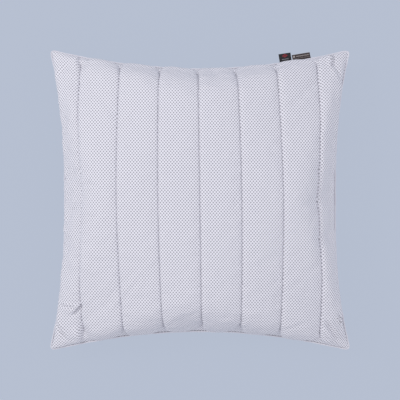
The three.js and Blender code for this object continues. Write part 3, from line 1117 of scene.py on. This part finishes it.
# The piping rolls down under the front panel's edge, except along the bottom seam.
bottom_share = np.exp(-(((seam_path[:, 1] + panel_half) / bottom_reach) ** 2))
wobble = smooth_ring(ring_noise(73, roll_wobble_reach), roll_wobble_blur)
ring_roll = piping_roll * (1 - bottom_share) + roll_wobble * wobble


def bunched(inset, radius):
    """How far in something lies that bunches up in a bend instead of crossing over itself."""
    room = corner_room * radius
    return np.minimum(inset, room + corner_squeeze * np.maximum(inset - room, 0))


def ring_sweep(name, section, material, sway=0.0):
    """A closed ring whose section is [outset, rise] points, anticlockwise with outwards to the right."""
    section = np.asarray(section)
    turned = np.clip(section[None, :, 0] / piping_roll_start, 0, 1) * ring_roll[:, None]
    outset = section[None, :, 0] * np.cos(turned) + section[None, :, 1] * np.sin(turned)
    rise = section[None, :, 1] * np.cos(turned) - section[None, :, 0] * np.sin(turned)
    wander = sway * ring_noise(71, pucker_pitch / 3)[:, None]
    lift = sway * ring_noise(72, pucker_pitch / 2)[:, None]
    showing = np.clip(outset / cord_outset, 0, 1)
    outset = outset + wander * showing
    rise = rise * (1 + 0.5 * wander / tape_outer_radius * showing) + lift * showing
    outset = -bunched(-outset, bend_radius[:, None])
    points = seam_path[:, None] + ring_out[:, None] * outset[..., None] + ring_up[:, None] * rise[..., None]
    return ring_piece(name, points, material)


def skin_faces(here, following):
    """The four-sided faces between each section's points and those of the section after it."""
    corners = [here, following, np.roll(following, -1, axis=1), np.roll(here, -1, axis=1)]
    return np.stack(corners, axis=-1).reshape(-1, 4)


def ring_piece(name, points, material):
    size = points.shape[1]
    here = np.arange(ring_steps)[:, None] * size + np.arange(size)[None]
    faces = skin_faces(here, np.roll(here, -1, axis=0))
    around, down = np.meshgrid(np.linspace(0, 1, size) * tape_width_shown, ring_at)
    return make_piece(name, points, faces, material, np.stack([around, down], axis=-1))


def arc(centre, radius, start, end, steps):
    turns = np.linspace(start, end, steps + 1)
    return [[centre + radius * math.cos(t), radius * math.sin(t)] for t in turns]


outer_start = math.pi - math.asin(flange_outer_half / tape_outer_radius)
inner_start = math.pi - math.asin(flange_inner_half / tape_inner_radius)
tape_section = [
    [-flange_width, -flange_outer_half],
    *arc(cord_outset, tape_outer_radius, -outer_start, outer_start, 14),
    [-flange_width, flange_outer_half],
    [-flange_width, flange_inner_half],
    *arc(cord_outset, tape_inner_radius, inner_start, -inner_start, 10),
    [-flange_width, -flange_inner_half],
]

piping_material, tree, shader = new_material("white_bias_tape")
on_cloth = flat_place(tree)
bias = add_node(tree, "ShaderNodeMapping", Vector=on_cloth, Rotation=(0, 0, math.pi / 4))
uneven = noise(tree, on_cloth, 90, 3)
tone = mixed_colour(tree, uneven, (0.80, 0.79, 0.83, 1), (0.70, 0.69, 0.74, 1))
wavy = bump(tree, uneven, 0.0008, 0.4)
bumps = woven(tree, bias.outputs["Vector"], tape_thread_pitch, 0.0001, 0.6, wavy)
dress(shader, tone, bumps, roughness=0.75, gloss=0.3, sheen=0.1)

tape = ring_sweep("piping_bias_tape", tape_section, piping_material, pucker_size)
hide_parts("piping_tape")

cord_material, tree, shader = new_material("twisted_cotton_cord")
lay_with_groove_shade = add_node(tree, "ShaderNodeTexWave", Vector=flat_place(tree), Scale=260, Distortion=1)
lay_with_groove_shade.bands_direction = "DIAGONAL"
# The lay's bands give the strands their bumps, and the colour is painted shade: darker in the grooves
# between the strands, where the bumps are lowest.
tone = mixed_colour(tree, lay_with_groove_shade.outputs["Fac"], (0.60, 0.59, 0.56, 1), (0.84, 0.83, 0.80, 1))
dress(shader, tone, bump(tree, lay_with_groove_shade.outputs["Fac"], 0.0003, 0.7), roughness=0.9)
cord_section = arc(cord_outset, cord_radius, 0, 2 * math.pi, 10)[:-1]
cord = ring_sweep("piping_core_cord", cord_section, cord_material, pucker_size)
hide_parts("piping_cord")

# --------------------------------------------------------------------------------------------------
# The overlock: a thread wound over the raw edges inside the cover so that they don't fray, right round
# the seam.

overlock_outset = -0.0099
overlock_radius = 0.0003
overlock_reach = (0.0006, 0.0007)  # how far the thread swings out and up
overlock_pitch = 4  # ring steps to one turn of the thread
overlock_sides = 5

turns = np.arange(ring_steps) * 2 * math.pi / overlock_pitch
inset = bunched(-overlock_outset, bend_radius)
centre = (
    seam_path
    + ring_out * (-inset + overlock_reach[0] * np.cos(turns))[:, None]
    + ring_up * (overlock_reach[1] * np.sin(turns))[:, None]
)
spoke = np.linspace(0, 2 * math.pi, overlock_sides + 1)[:-1]
thread_points = (
    centre[:, None]
    + ring_out[:, None] * (overlock_radius * np.cos(spoke))[None, :, None]
    + ring_up[:, None] * (overlock_radius * np.sin(spoke))[None, :, None]
)
overlock = ring_piece("overlock_thread_round_edge", thread_points, thread_material)
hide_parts("edge_overlock_thread")

# --------------------------------------------------------------------------------------------------
# The closing seam: the opening that the filling went in through, closed by hand with short stitches that
# run beside the bottom seam on the back.

closing_length = 0.200
closing_inset = 0.006
closing_pitch = 0.005
closing_stitch = 0.0042
closing_thickness = 0.0008
closing_slant = 0.35  # how far a stitch turns across the seam

closing_across = np.linspace(-closing_length / 2, closing_length / 2, 300)
closing_along = np.full(closing_across.shape, -half_side + closing_inset)
closing_line = on_panel(back_surface, closing_across, closing_along)
places, runs, share = even_steps(closing_line, closing_pitch)
across = closing_across[0] + share * closing_length
faces = unit(on_panel(back_normals, across, np.full(across.shape, -half_side + closing_inset)))
slant = unit(runs + closing_slant * np.cross(faces, runs))
closing = sew(
    "closing_seam_stitches",
    places + faces * closing_thickness * thread_proud,
    slant,
    faces,
    closing_stitch,
    closing_thickness,
)
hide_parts("closing_seam_thread")

# --------------------------------------------------------------------------------------------------
# The woven labels: two ribbons folded double and caught in the top seam in front of the piping, one
# nearly square and black, one long and brown.

leaf_thickness = 0.0004
leaf_gap = 0.0003
tail_gap = 0.00005
tail_end = -0.0075  # from the line that the label turns about, in towards the cover
tail_rise = 0.0021  # over the piping
tail_slope = (-0.0015, 0.0025)  # between which the ribbon comes down from the piping
tail_dip = 0.0009  # into the seam behind the piping
tail_dip_slope = (-0.0075, -0.0045)
leaf_slope = (-0.002, 0.004)  # between which the two leaves part
fine_end = 0.0035  # up to here the section has a point every 0.7 mm
label_curl = 0.0007
label_steps = 24
square_width, square_reach = 0.027, 0.018
strip_width, strip_reach = 0.041, 0.012


def label_material(name, ground, motif):
    """Satin-woven ribbon: fine ribs across it, with a pattern woven in paler or redder thread."""
    material, tree, shader = new_material(name)
    place = flat_place(tree)
    ribs = add_node(tree, "ShaderNodeTexWave", Vector=place, Scale=700)
    ribs.bands_direction = "Y"
    shade = [0.6 * c for c in ground[:3]] + [1]
    colour = mixed_colour(tree, noise(tree, place, 400, 3), ground, shade)
    split = add_node(tree, "ShaderNodeSeparateXYZ", Vector=place).outputs
    raised = 0.0
    for colour_of, mask in motif(tree, split[0], split[1]):
        colour = mixed_colour(tree, mask, colour, colour_of)
        raised = maths(tree, "MAXIMUM", raised, mask)
    bumps = bump(tree, raised, 0.0001, 0.6, bump(tree, ribs.outputs["Fac"], 0.00008, 0.6))
    dress(shader, colour, bumps, roughness=0.48, gloss=0.35, sheen=0.1)
    return material


def within(tree, value, low, high):
    """1 where the value lies between low and high, or else 0."""
    above = maths(tree, "GREATER_THAN", value, low)
    return maths(tree, "MULTIPLY", above, maths(tree, "LESS_THAN", value, high))


def patch(tree, across, out, left, right, low, high):
    """1 inside a rectangle of the label, or else 0."""
    return maths(tree, "MULTIPLY", within(tree, across, left, right), within(tree, out, low, high))


def dashes(tree, across, out, left, right, low, high, pitch, share):
    """A line of short woven marks."""
    from_left = maths(tree, "SUBTRACT", across, left)
    step = maths(tree, "FRACT", maths(tree, "DIVIDE", from_left, pitch))
    marks = maths(tree, "LESS_THAN", step, share)
    return maths(tree, "MULTIPLY", marks, patch(tree, across, out, left, right, low, high))


def square_motif(tree, across, out):
    """A dark red lozenge over a short line of pale marks."""
    lozenge_centre = 0.0125
    lozenge_flatness = 0.62
    lozenge_half, core_half = 0.0042, 0.0012
    from_middle = maths(tree, "ABSOLUTE", across)
    from_centre = maths(tree, "ABSOLUTE", maths(tree, "SUBTRACT", out, lozenge_centre))
    sideways = maths(tree, "MULTIPLY", from_middle, lozenge_flatness)
    reach = maths(tree, "ADD", sideways, from_centre)
    marks = dashes(
        tree, across, out, left=-0.0075, right=0.0075, low=0.0043, high=0.0056, pitch=0.0015, share=0.6
    )
    yield (0.21, 0.014, 0.022, 1), maths(tree, "LESS_THAN", reach, lozenge_half)
    yield (0.05, 0.012, 0.016, 1), maths(tree, "LESS_THAN", reach, core_half)
    yield (0.45, 0.44, 0.46, 1), marks


def strip_motif(tree, across, out):
    """A thin pale frame round a small square and a row of pale marks."""
    whole = patch(tree, across, out, left=-0.0215, right=0.0215, low=0.0024, high=0.0120)
    hollow = patch(tree, across, out, left=-0.0209, right=0.0209, low=0.0030, high=0.0114)
    square = patch(tree, across, out, left=-0.0182, right=-0.0142, low=0.0052, high=0.0092)
    marks = dashes(
        tree, across, out, left=-0.0115, right=0.0180, low=0.0058, high=0.0084, pitch=0.0019, share=0.62
    )
    yield (0.30, 0.25, 0.24, 1), maths(tree, "SUBTRACT", whole, hollow)
    yield (0.42, 0.37, 0.35, 1), square
    yield (0.36, 0.32, 0.30, 1), marks


def label_section(reach):
    """The folded ribbon's outer and inner lines: [out, rise] points from its top tail round the fold."""
    straight = reach - leaf_gap / 2 - leaf_thickness
    out = np.concatenate([np.linspace(tail_end, fine_end, 16), np.linspace(fine_end, straight, 14)[1:]])
    over = 1 - np.interp(out, tail_slope, (0, 1))
    rise = tail_rise * over * over * (3 - 2 * over)
    rise -= tail_dip * (1 - np.interp(out, tail_dip_slope, (0, 1)))
    gap = tail_gap + (leaf_gap - tail_gap) * np.interp(out, leaf_slope, (0, 1))
    half_turn = np.linspace(math.pi / 2, -math.pi / 2, 9)[1:-1]

    def line(thick):
        top = np.stack([out, rise + gap / 2 + thick], axis=-1)
        bottom = np.stack([out, rise - gap / 2 - thick], axis=-1)[::-1]
        radius = leaf_gap / 2 + thick
        fold = np.stack([straight + radius * np.cos(half_turn), radius * np.sin(half_turn)], axis=-1)
        return np.concatenate([top, fold, bottom])

    return line(leaf_thickness), line(0.0)


def make_label(name, body, width, reach, material, curl_seed):
    """A folded ribbon laid out from its hinge line, with its tail in the pillow's seam."""
    hinge = next(joint for joint in frame["joints"] if joint["child"] == body)
    origin = np.array(hinge["pos_m"], float)
    along_seam = unit(np.array(hinge["axis"], float))
    outward = unit(np.array([-along_seam[1], along_seam[0], 0]))
    upward = np.cross(along_seam, outward)

    outer, inner = label_section(reach)
    size = len(outer)
    section = np.concatenate([outer, inner[::-1]])
    across = np.linspace(-width / 2, width / 2, label_steps + 1)
    twist, cup, lift = np.random.default_rng(curl_seed).normal(0, 1, 3)
    free = np.clip(section[:, 0] / reach, 0, 1)
    points = []
    for place in across:
        share = place / width
        wave = 0.5 * twist * math.sin(3.1 * share) + 2 * cup * share**2 + 0.3 * lift
        rise = section[:, 1] + label_curl * free**2 * wave
        points.append(origin + along_seam * place + outward * section[:, :1] + upward * rise[:, None])
    points = np.array(points)
    count = 2 * size
    here = np.arange(label_steps)[:, None] * count + np.arange(count)[None]
    k = np.arange(size - 1)
    cap = np.stack([k, k + 1, count - 2 - k, count - 1 - k], axis=-1)
    last = cap[:, ::-1] + label_steps * count
    faces = np.concatenate([skin_faces(here, here + count), cap, last])
    places = np.empty((label_steps + 1, count, 2))
    places[..., 0] = across[:, None]
    places[..., 1] = section[None, :, 0]
    label = make_piece(name, points, faces, material, places, body=None)
    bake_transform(label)
    return label


black_ribbon = label_material("black_woven_ribbon", (0.012, 0.011, 0.015, 1), square_motif)
square = make_label(
    "square_woven_label", "square_label", square_width, square_reach, black_ribbon, curl_seed=3
)
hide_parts("square_label")

brown_ribbon = label_material("brown_woven_ribbon", (0.040, 0.026, 0.026, 1), strip_motif)
strip = make_label(
    "strip_woven_label", "strip_label", strip_width, strip_reach, brown_ribbon, curl_seed=8
)
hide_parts("strip_label")
